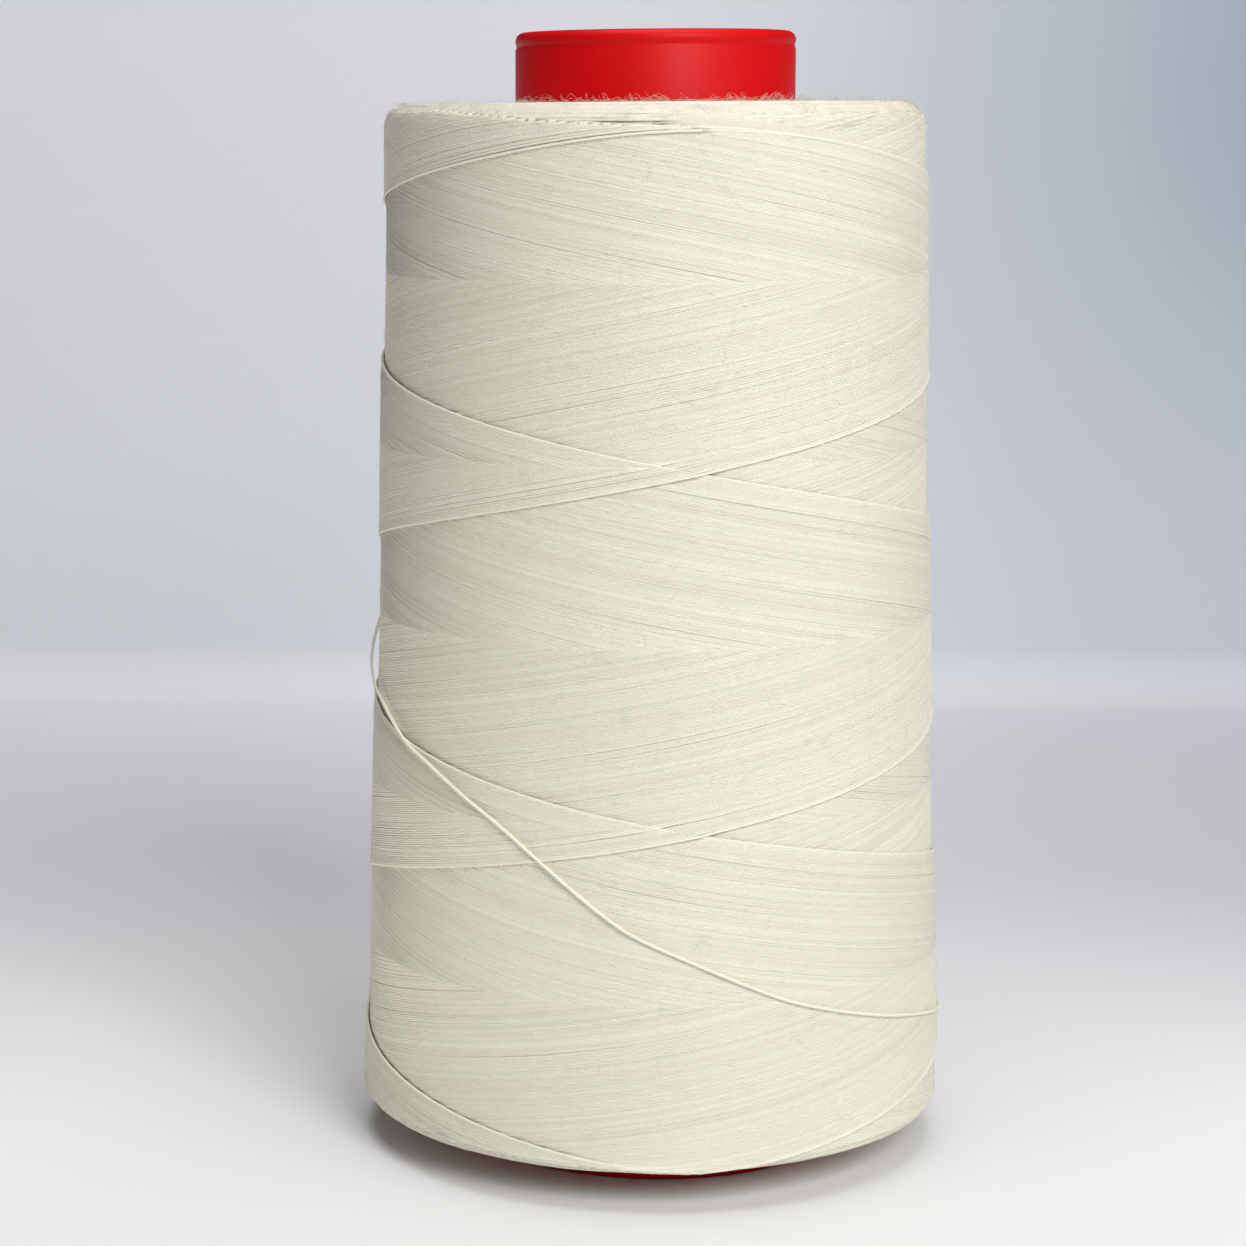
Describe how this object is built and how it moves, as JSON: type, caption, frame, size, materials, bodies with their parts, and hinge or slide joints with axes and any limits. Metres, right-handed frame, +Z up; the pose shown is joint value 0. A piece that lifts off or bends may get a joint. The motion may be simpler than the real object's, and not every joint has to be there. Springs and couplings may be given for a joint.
{
  "type": "cone of overlock thread",
  "caption": "Cream sewing thread cross-wound on a red plastic cone, with round shoulders, a nose that stands out of the top, and a loose thread end lying across the front.",
  "frame": {"origin": "on the cone's axis, on the surface that its foot stands on", "axes": "+Z up along the cone's axis to its nose; -Y faces the front, where the loose end lies; +X to the right seen from the front"},
  "size_m": [0.0747, 0.0742, 0.1394],
  "materials": {
    "thread": "matte",
    "cone_plastic": "gloss"
  },
  "bodies": {
    "root": {"thread_winding": "thread", "cone_core": "cone_plastic", "thread_tail": "thread"}
  },
  "joints": []
}
